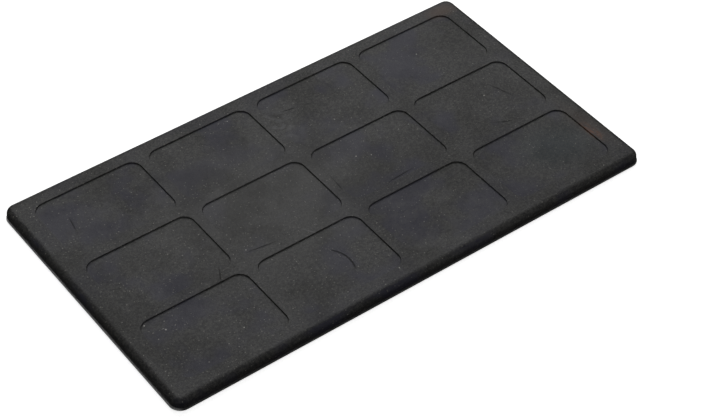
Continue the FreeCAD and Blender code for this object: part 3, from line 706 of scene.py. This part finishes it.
def eased_copy(node, name, ease, segments=3, angle_deg=40):
    """A welded copy of a part's mesh with its sharp edges rounded."""
    mesh = frame["nodes"][node].data.copy()
    mesh.name = name
    work = bmesh.new()
    work.from_mesh(mesh)
    bmesh.ops.remove_doubles(work, verts=work.verts, dist=SAME_POINT)
    bmesh.ops.dissolve_limit(
        work, angle_limit=math.radians(SAME_PLANE_DEG), verts=work.verts, edges=work.edges)
    work.to_mesh(mesh)
    work.free()
    made = new_object(name, mesh)
    bevel = made.modifiers.new("ease", "BEVEL")
    bevel.width = ease * MM
    bevel.segments = segments
    bevel.limit_method = "ANGLE"
    bevel.angle_limit = math.radians(angle_deg)
    finished = bake_modifiers(made, name)
    smooth(finished)
    return finished


bush = eased_copy("inlet_bush", "cord_bush", BUSH_EASE)
print("cord bush:", len(bush.data.polygons), "faces")

# %% [markdown]
# ## Finishes
# Every finish is one shader and a few masks.  A mask is a number from 0 to 1 that says where a
# haze, a stain or a scratch lies.  It is built from noise or from an oval in the object's own
# coordinates, so it stays on the rubber from every side.

# %% A base for every finish
FIRST_COLOUR = 6
SECOND_COLOUR = 7
MIXED_COLOUR = 2
ARC_CORE = 0.3
ARC_PLATEAU = 3.0


class Finish(Wiring):
    """A material with one shader, wired by the same helper."""

    def __init__(self, name, material=None):
        self.material = material or bpy.data.materials.new(name)
        self.material.use_nodes = True
        super().__init__(self.material.node_tree)
        self.tree.nodes.clear()
        self.shader = self.node("ShaderNodeBsdfPrincipled")
        self.node("ShaderNodeOutputMaterial", {}, {"Surface": self.out(self.shader)})
        self.place = self.out(self.node("ShaderNodeTexCoord"), "Object")

    def set(self, **values):
        """Feed the shader: a Flow is linked, anything else is set on the socket."""
        for name, value in values.items():
            socket = self.shader.inputs[name.replace("_", " ").title().replace("Ior", "IOR")]
            if isinstance(value, Flow):
                self.tree.links.new(value.socket, socket)
            else:
                socket.default_value = value

    def noise(self, scale, detail=2.0, roughness=0.5, distortion=0.0, place=None):
        made = self.node("ShaderNodeTexNoise", {}, {
            "Vector": place or self.place, "Scale": scale, "Detail": detail,
            "Roughness": roughness, "Distortion": distortion})
        return self.out(made)

    def mix(self, mask, first, second):
        """Blend two colours; each is a Flow or four numbers.  The node's colour sockets share
        their names with those for numbers, so they are called by their place in the list."""
        made = self.node("ShaderNodeMix", {"data_type": "RGBA"}, {
            "Factor": mask, FIRST_COLOUR: first, SECOND_COLOUR: second})
        return self.out(made, MIXED_COLOUR)

    def stretch(self, scale, turn_deg=0.0):
        """The place, stretched along the axes after a turn about Z."""
        made = self.node("ShaderNodeMapping", {}, {
            "Vector": self.place, "Scale": scale, "Rotation": (0, 0, math.radians(turn_deg))})
        return self.out(made)

    def bump(self, height, depth, strength=1.0):
        """Bend the normal by a height that rises by a depth in metres."""
        made = self.node("ShaderNodeBump", {}, {
            "Height": height, "Distance": depth, "Strength": strength})
        self.set(normal=self.out(made))

    def spot(self, centre, reach, turn_deg=0, soft=0.85):
        """An oval mask: 1 at its centre, 0 beyond its reach along each turned axis (metres)."""
        made = self.node("ShaderNodeMapping", {"vector_type": "TEXTURE"}, {
            "Vector": self.place, "Location": centre, "Scale": reach,
            "Rotation": (0, 0, math.radians(turn_deg))})
        length = self.node("ShaderNodeVectorMath", {"operation": "LENGTH"}, {0: self.out(made)})
        return self.fit(self.out(length, "Value"), 1.0, 1.0 - soft)

    def arc(self, centre, radius, width, middle_deg, half_deg):
        """A thin curved line: part of a ring about a centre (metres)."""
        moved = self.node("ShaderNodeVectorMath", {"operation": "SUBTRACT"}, {
            0: self.place, 1: centre})
        length = self.out(self.node("ShaderNodeVectorMath", {"operation": "LENGTH"}, {
            0: self.out(moved)}), "Value")
        middle = math.radians(middle_deg)
        facing = self.node("ShaderNodeVectorMath", {"operation": "DOT_PRODUCT"}, {
            0: self.out(moved), 1: (math.cos(middle), math.sin(middle), 0)})
        cosine = self.out(facing, "Value") / length
        near = self.fit(self.math("ABSOLUTE", length - radius), width, width * ARC_CORE)
        return near * self.fit(cosine, math.cos(math.radians(half_deg)), 1.0, 0.0, ARC_PLATEAU)


print("finish helper ready")

# %% [markdown]
# The cover is black all through, moulded matt, and has been used: pale dust specks, a greyer haze
# where it is worn, bluish patches in the cells, thin scuffs, and a rusty smear near one end.  Those
# could be painted onto a map, but masks need no file and stay sharp however near one looks.  First
# come the colours and the places, then the masks, then the shader that they feed.

# %% The used rubber of the cover: colours, stains, dust and marks
def grey(level, alpha=1.0):
    return (level, level, level, alpha)


RUBBER_BLACK = (0.0060, 0.0061, 0.0068, 1)
RUBBER_HAZED = (0.0130, 0.0126, 0.0112, 1)
GRIT_GREY = (0.0460, 0.0450, 0.0415, 1)
COOL_BLUE = (0.0185, 0.0180, 0.0370, 1)
MIDDLE_PALE_GREY = (0.0440, 0.0435, 0.0420, 1)
RUBBED_GREY = (0.0750, 0.0750, 0.0790, 1)
TRODDEN_GREY = (0.0600, 0.0590, 0.0570, 1)
SLATE_BLUE = (0.0150, 0.0270, 0.0330, 1)
RUST_ORANGE = (0.1500, 0.0480, 0.0180, 1)
STAIN_BROWN = (0.0520, 0.0300, 0.0180, 1)
CORNER_TAN = (0.0720, 0.0420, 0.0250, 1)

# Patches: the centre and the reach of an oval in metres, and its turn in degrees.
# A broad oval that makes the middle of the top a paler grey.
PALER_MIDDLE = ((-0.055, 0.015, 0.011), (0.15, 0.12, 0.1), 0)
RUBBED_PATCH = ((0.010, 0.093, 0.011), (0.022, 0.045, 0.02), 8)
SLATE_PATCH = ((0.205, -0.092, 0.011), (0.055, 0.042, 0.05), -20)
RUST_SMEAR = ((0.2465, -0.098, 0.012), (0.007, 0.024, 0.012), 4)
RUST_HALO = ((0.249, -0.085, 0.012), (0.014, 0.055, 0.02), 4)
TAN_CORNER = ((0.243, 0.134, 0.012), (0.026, 0.014, 0.02), -8)
DUSTY_CORNER = ((-0.250, 0.128, 0.011), (0.03, 0.03, 0.02), 0)

# Dust: spacing and radius of the dots in metres, the share kept, a seed, strength and colour.
DUST = (
    (0.0030, 0.00065, 0.9, 3, 0.34, (0.30, 0.29, 0.25, 1)),
    (0.0052, 0.00062, 0.8, 1, 0.60, (0.33, 0.32, 0.29, 1)),
    (0.0140, 0.00090, 0.6, 2, 0.75, (0.55, 0.54, 0.50, 1)),
)
SEED_STEP = (0.37, 0.11, 0.53)

# Straight scuffs: the middle along X and Y, half the length, and the turn in degrees.
SCUFFS = (
    (0.215, 0.003, 0.022, -72), (0.191, -0.037, 0.020, -26), (0.030, 0.103, 0.012, -12),
    (-0.150, -0.045, 0.018, 62), (-0.100, -0.036, 0.024, -8), (0.060, -0.036, 0.026, 4),
    (-0.222, 0.092, 0.014, 80), (0.005, -0.010, 0.020, 84),
)
SCUFF_HEIGHT = 0.0105
SCUFF_HALF_WIDTH = 0.0011
SCUFF_HALF_DEPTH = 0.004
CURVED_SCUFF = ((-0.072, -0.096, SCUFF_HEIGHT), 0.0285, SCUFF_HALF_WIDTH, 8, 38)
PALE_SCUFF = ((-0.052, -0.048, 0.0115), (0.014, 0.0012, SCUFF_HALF_DEPTH), -57)
print(len(DUST), "kinds of dust,", len(SCUFFS) + 2, "scuffs laid by hand")

# %% The used rubber of the cover: its masks
def specks(finish, spacing, radius, share, seed):
    """Round pale dots: one in each Voronoi cell that a share of them keeps."""
    shift = tuple(seed * step for step in SEED_STEP)
    place = finish.out(finish.node("ShaderNodeVectorMath", {"operation": "ADD"}, {
        0: finish.place, 1: shift}))
    cells = finish.node("ShaderNodeTexVoronoi", {}, {"Vector": place, "Scale": 1 / spacing})
    apart = finish.node("ShaderNodeSeparateColor", {}, {0: finish.out(cells, "Color")})
    size = finish.fit(finish.out(apart, "Red"), 1 - share, 1, 0.0, radius / spacing)
    return finish.math("LESS_THAN", finish.out(cells, "Distance"), size)


def cover_colour(finish, haze):
    """Black rubber, greyer where it is worn, bluish in the cells, stained at one end."""
    apart = finish.node("ShaderNodeSeparateXYZ", {}, {0: finish.place})
    in_cell = finish.fit(finish.out(apart, "Z"), 0.0113, 0.0106, 0.35, 1.0)
    cool = finish.fit(finish.noise(19, 3, 0.55, place=finish.stretch((1, 1, 1), 35)), 0.46, 0.62)
    grit = finish.fit(finish.noise(430, 4, 0.85), 0.45, 0.57)
    wisps = finish.fit(finish.noise(75, 4, 0.7, 1.2), 0.42, 0.62)
    trodden = finish.fit(finish.noise(5, 3, 0.6, 0.5), 0.5, 0.62) * wisps
    streaks = finish.noise(330, 4, 0.7, place=finish.stretch((1, 0.3, 1)))
    streaks = finish.fit(streaks, 0.40, 0.62)

    colour = finish.mix(haze * 0.8, RUBBER_BLACK, RUBBER_HAZED)
    for mask, strength, over in (
            (grit, 0.95, GRIT_GREY),
            (cool * in_cell, 0.75, COOL_BLUE),
            (finish.spot(*PALER_MIDDLE), 0.6, MIDDLE_PALE_GREY),
            (finish.spot(*RUBBED_PATCH) * wisps, 0.75, RUBBED_GREY),
            (trodden, 0.3, TRODDEN_GREY),
            (finish.spot(*SLATE_PATCH), 0.55, SLATE_BLUE),
            (finish.spot(*RUST_SMEAR) * streaks, 0.9, RUST_ORANGE),
            (finish.spot(*RUST_HALO), 0.35, STAIN_BROWN),
            (finish.spot(*TAN_CORNER), 0.7, CORNER_TAN)):
        colour = finish.mix(mask * strength, colour, over)

    # Here the mask only spreads dust specks: denser towards the -X end and in one far corner.
    dust_and_painted_light = finish.fit(finish.out(apart, "X"), 0.2, -0.26, 0.65, 1.0) + finish.spot(*DUSTY_CORNER)
    for spacing, radius, share, seed, strength, pale in DUST:
        dots = specks(finish, spacing, radius, share, seed)
        colour = finish.mix(dots * dust_and_painted_light * strength, colour, pale)
    return colour, dots


def scuffs(finish):
    """Thin marks: loose arcs everywhere, dark ones listed one by one, and one pale one."""
    rings = finish.node("ShaderNodeTexWave", {"wave_type": "RINGS", "rings_direction": "Z"}, {
        "Vector": finish.stretch((1, 1, 1), 20), "Scale": 6.0, "Distortion": 3.0,
        "Detail": 2.0, "Detail Scale": 1.5})
    loose = finish.fit(finish.out(rings, "Fac"), 0.985, 1.0)
    loose = loose * finish.fit(finish.noise(15, 2, 0.5), 0.52, 0.62)
    # The dark lines are real dents, but their near-black colour is painted shadow in the dents.
    dark = finish.arc(*CURVED_SCUFF)
    for x, y, half_length, turn_deg in SCUFFS:
        reach = (half_length, SCUFF_HALF_WIDTH, SCUFF_HALF_DEPTH)
        dark = dark + finish.spot((x, y, SCUFF_HEIGHT), reach, turn_deg)
    return loose, finish.math("MINIMUM", dark, 1.0), finish.spot(*PALE_SCUFF)


print("cover masks ready")

# %% The used rubber of the cover: its shader
BUMP_DEPTH = 0.00016


def finish_cover():
    finish = Finish("cover_rubber", cover_rubber)
    cloud = finish.noise(26, 5, 0.6)
    haze = finish.fit(cloud * 0.7 + finish.noise(9, 2, 0.5) * 0.3, 0.42, 0.62)
    colour, coarse_dust = cover_colour(finish, haze)
    loose, dark, pale = scuffs(finish)
    colour = finish.mix(loose * 0.3, colour, grey(0.045))
    # Painted shadow: the dented scuff lines are painted near black.
    colour = finish.mix(dark * 0.75, colour, grey(0.006))
    colour = finish.mix(pale * 0.6, colour, grey(0.12))
    grain = finish.noise(2300, 2, 0.6)
    pebble = finish.noise(560, 3, 0.65)
    dents = finish.noise(60, 2, 0.5)
    roughness = 0.41 + haze * 0.1 + pebble * 0.26 + dark * 0.2
    height = grain * 0.35 + pebble * 1.5 + dents * 1.5 + coarse_dust * 0.5 - dark * 0.8
    finish.set(base_color=colour, roughness=roughness, specular_ior_level=0.45)
    finish.bump(height, BUMP_DEPTH, 0.95)


finish_cover()
print("cover rubber:", len(cover_rubber.node_tree.nodes), "nodes")

# %% [markdown]
# The base sheet and the bush are of the same black rubber, but little of them shows, so a plainer
# finish does.  The sheet's lip gets a painted highlight: it is painted paler along its upper edge,
# and much paler low along one end, where light catches it.

# %% The plainer rubber of the base and the bush
BASE_LEVEL = 0.016
BUSH_LEVEL = 0.02
PLAIN_DUST = (0.006, 0.0005, 0.4, 5)


def finish_plain_rubber(name, level, material=None, painted_lip_light=False):
    """Dark rubber with haze and dust; the lip can get a painted highlight along its upper edge and a
    paler one low at one end.
    """
    finish = Finish(name, material)
    haze = finish.fit(finish.noise(20, 4, 0.6), 0.42, 0.7)
    colour = finish.mix(haze * 0.7, grey(level), grey(level * 1.9))
    if painted_lip_light:
        # Painted highlight: the lip's upper edge is painted paler all round, and its low edge at the -X
        # end much paler, standing in for light catching it.
        apart = finish.node("ShaderNodeSeparateXYZ", {}, {0: finish.place})
        height = finish.out(apart, "Z")
        patchy = finish.fit(finish.noise(160, 3, 0.6), 0.3, 0.6, 0.6, 1.0)
        at_end = finish.fit(finish.out(apart, "X"), -0.2565, -0.2625)
        dust_and_painted_light = at_end * finish.fit(height, 0.0001, 0.0006)
        painted_lip_highlight = finish.math("MAXIMUM", finish.fit(height, 0.0012, 0.0019) * 0.5, dust_and_painted_light)
        colour = finish.mix(painted_lip_highlight * patchy, colour, grey(0.14))
        colour = finish.mix(dust_and_painted_light * patchy * 0.8, colour, grey(0.6))
    colour = finish.mix(specks(finish, *PLAIN_DUST) * 0.3, colour, grey(0.3))
    finish.set(base_color=colour, roughness=0.55 + haze * 0.15)
    finish.bump(finish.noise(1800, 2, 0.6) * 0.4 + finish.noise(300, 3, 0.5), 0.00012, 0.7)
    return finish.material


finish_plain_rubber("base_rubber", BASE_LEVEL, base_rubber, painted_lip_light=True)
bush_rubber = finish_plain_rubber("bush_rubber", BUSH_LEVEL)
print("plain rubbers: base and bush")

# %% [markdown]
# The inner pieces never show while the mat is whole, but they are real pieces and get real
# finishes: felt, foil, coloured insulation, tinned metal, brass, nylon, phenolic and film.  They
# differ mostly in colour, gloss and grain, so one function makes them from a short table.

# %% Finishes of the inner pieces
def finish_simple(name, colour, shade, rough, grain, depth, stretch=(1, 1, 1), metal=0.0, coat=0.0):
    """Two shades of a colour in a grain; the grain also wavers the gloss and dents the surface."""
    finish = Finish(name)
    lines = finish.noise(grain, 4, 0.6, place=finish.stretch(stretch))
    patches = finish.noise(grain / 12, 3, 0.5)
    mask = finish.fit(lines * 0.6 + patches * 0.4, 0.35, 0.65)
    darker = tuple(part * shade for part in colour)
    finish.set(
        base_color=finish.mix(mask, darker + (1,), colour + (1,)),
        roughness=rough + mask * 0.12, metallic=metal, coat_weight=coat)
    finish.bump(lines, depth * MM, 0.6)
    return finish.material


METAL = {"metal": 1.0}
DRAWN = {"metal": 1.0, "stretch": (1, 0.2, 1)}
ROLLED = {"metal": 1.0, "stretch": (0.05, 1, 1)}
FIBROUS = {"stretch": (1, 0.35, 1)}
VARNISHED = {"coat": 0.4}

# Each row: colour, darker shade, roughness, grain per metre, dents in millimetres, and the rest.
INNER_FINISHES = {
    "felt": ((0.50, 0.47, 0.41), 0.72, 0.85, 900, 0.3, FIBROUS),
    "foil": ((0.86, 0.87, 0.89), 0.90, 0.22, 700, 0.06, ROLLED),
    "cable_sheath": ((0.33, 0.055, 0.028), 0.80, 0.38, 500, 0.03, {}),
    "live_insulation": ((0.022, 0.022, 0.023), 0.70, 0.35, 500, 0.03, {}),
    "neutral_insulation": ((0.66, 0.65, 0.62), 0.93, 0.35, 500, 0.03, {}),
    "earth_insulation": ((0.03, 0.22, 0.05), 0.85, 0.35, 500, 0.03, {}),
    "tinned_metal": ((0.66, 0.66, 0.65), 0.80, 0.32, 1200, 0.03, METAL),
    "shrink_sleeve": ((0.02, 0.02, 0.022), 0.75, 0.45, 800, 0.04, {}),
    "screw_steel": ((0.60, 0.60, 0.60), 0.80, 0.30, 1500, 0.03, DRAWN),
    "rivet_metal": ((0.78, 0.78, 0.79), 0.85, 0.35, 1100, 0.03, METAL),
    "clamp_plastic": ((0.035, 0.035, 0.037), 0.80, 0.50, 1400, 0.06, {}),
    "contact_brass": ((0.80, 0.57, 0.24), 0.85, 0.28, 1300, 0.03, METAL),
    "header_plastic": ((0.15, 0.065, 0.03), 0.75, 0.42, 900, 0.05, {}),
    "clear_film": ((0.55, 0.38, 0.09), 0.90, 0.20, 400, 0.02, VARNISHED),
}
finishes = {
    name: finish_simple(name, *row[:-1], **row[-1]) for name, row in INNER_FINISHES.items()}
finishes.update(cover_rubber=cover_rubber, base_rubber=base_rubber, bush_rubber=bush_rubber)
slot_of = {row["node"]: row["material_slot"] for row in frame["record"]["subparts"]}
for node, part in frame["nodes"].items():
    for slot in part.material_slots:
        slot.material = finishes[slot_of[node]]
print("finished parts:", len(slot_of), "with", len(finishes), "finishes")

# %% [markdown]
# Each new piece now takes the place of its part: it moves with the mat's body, hides the part and
# wears the finish of the part's own slot.  The parts that nothing replaces stay as they are.

# %% Seat the new pieces on the frame
for piece, node in ((cover, "top_cover"), (base, "base_sheet"), (bush, "inlet_bush")):
    piece.data.materials.clear()
    piece.data.materials.append(finishes[slot_of[node]])
    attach(piece, "mat")
    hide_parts(node)
    print(piece.name, "stands for", node)

# %% [markdown]
# ## The studio
# The mat lies on a white floor that curves up into a wall far away, like the paper sweep of a
# studio, so there is no horizon from any side.  It glows a little, less near the mat, which
# leaves only a faint contact shadow, and it lights nothing: the black sides stay black.

# %% The white sweep
SWEEP_PROFILE = ((0.5, 0), (2, 0), (9, 0), (11, 0.3), (12.5, 1.2), (13.2, 2.6), (13.5, 9))
SWEEP_SIDES = 64
FLOOR_DROP = 0.0002
GLOW_NEAR = 0.74
GLOW_FAR = 1
GLOW_FROM = 0.5
GLOW_TO = 2.5


def finish_floor():
    finish = Finish("floor_white")
    patches = finish.fit(finish.noise(3, 3, 0.5), 0.3, 0.7)
    length = finish.node("ShaderNodeVectorMath", {"operation": "LENGTH"}, {0: finish.place})
    away = finish.fit(finish.out(length, "Value"), GLOW_FROM, GLOW_TO)
    finish.set(
        base_color=finish.mix(patches, grey(0.88), grey(0.92)), roughness=0.85 + patches * 0.1,
        emission_color=finish.mix(away, grey(GLOW_NEAR), grey(GLOW_FAR)),
        emission_strength=1.0, specular_ior_level=0.1)
    return finish.material


def make_sweep():
    """A round sheet in metres: a fan about its centre, then bands out and up the wall."""
    turns = [2 * math.pi * k / SWEEP_SIDES for k in range(SWEEP_SIDES)]
    points = [(0, 0, -FLOOR_DROP)]
    for radius, height in SWEEP_PROFILE:
        points += [(radius * math.cos(a), radius * math.sin(a), height - FLOOR_DROP) for a in turns]
    faces = [(0, 1 + k, 1 + (k + 1) % SWEEP_SIDES) for k in range(SWEEP_SIDES)]
    faces += bands(len(SWEEP_PROFILE), SWEEP_SIDES, rising=False, first=1)
    mesh = bpy.data.meshes.new("floor")
    mesh.from_pydata(points, [], faces)
    mesh.materials.append(finish_floor())
    mesh.polygons.foreach_set("use_smooth", [True] * len(mesh.polygons))
    return new_object("floor", mesh)


floor = make_sweep()
floor.visible_diffuse = False
floor.visible_glossy = False
print("sweep:", len(floor.data.polygons), "faces")

# %% [markdown]
# A wide soft light hangs behind the mat, so the flat rubber mirrors it as a grey sheen while walls
# that face the camera stay dark, which is what draws the cells.  A second hangs overhead, and
# three weak ones low round the mat keep its sides from going quite black in other views.

# %% Lights
# Each light: its place and its size in metres, and its power in watts.
LIGHTS = {
    "back_softbox": ((0.85, 1.4, 1.6), (2.0, 1.2), 20),
    "top_softbox": ((0.1, 0.3, 2.2), (1.2, 1.2), 8),
    "front_fill": ((-1.3, -1.2, 1.2), (1.6, 1.2), 3),
    "right_fill": ((1.6, -1.5, 0.75), (2.0, 0.9), 4.5),
    "left_fill": ((-1.9, 0.9, 0.75), (1.4, 0.7), 1.0),
}
WORLD_LEVEL = 0.05


def area_light(name, place, size, watts):
    """A rectangular light at a place, turned to face the middle of the mat."""
    data = bpy.data.lights.new(name, "AREA")
    data.shape = "RECTANGLE"
    data.size, data.size_y = size
    data.energy = watts
    light = bpy.data.objects.new(name, data)
    bpy.context.scene.collection.objects.link(light)
    light.location = place
    light.rotation_euler = (-Vector(place)).to_track_quat("-Z", "Y").to_euler()


def finish_world(level):
    world = bpy.data.worlds.new("studio")
    bpy.context.scene.world = world
    world.use_nodes = True
    background = world.node_tree.nodes["Background"]
    background.inputs["Color"].default_value = grey(1)
    background.inputs["Strength"].default_value = level


finish_world(WORLD_LEVEL)
for light_name, settings in LIGHTS.items():
    area_light(light_name, *settings)
bpy.context.scene.view_settings.view_transform = "Standard"
print(len(bpy.data.lights), "lights")
